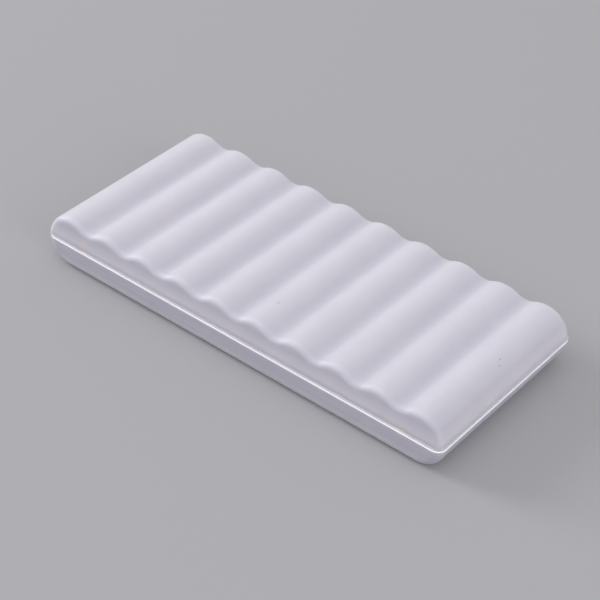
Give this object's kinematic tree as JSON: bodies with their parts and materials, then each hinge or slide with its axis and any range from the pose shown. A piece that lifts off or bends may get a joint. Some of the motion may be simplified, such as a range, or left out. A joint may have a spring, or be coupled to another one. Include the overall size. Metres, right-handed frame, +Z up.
{
  "type": "battery storage case",
  "caption": "Flat translucent plastic storage case with a corrugated snap lid hinged along the back, for a row of small round cells.",
  "frame": {"origin": "middle of the tray's flat underside", "axes": "+X along the row of cells, -Y towards the front with the snaps, +Y towards the hinge, +Z up"},
  "size_m": [0.1112, 0.0505, 0.0133],
  "materials": {
    "milky_polypropylene": "translucent milky polypropylene, satin moulded surface"
  },
  "bodies": {
    "tray": {"tray": "milky_polypropylene", "hinge_strap_left": "milky_polypropylene", "hinge_strap_right": "milky_polypropylene"},
    "lid": {"lid": "milky_polypropylene"}
  },
  "joints": [
    {"name": "lid_hinge", "type": "hinge", "parent": "tray", "child": "lid", "pos_m": [0, 0.02567, 0.0065], "axis": [-1, 0, 0], "range_deg": [0, 160], "deforming": ["hinge_strap_left", "hinge_strap_right"]}
  ]
}
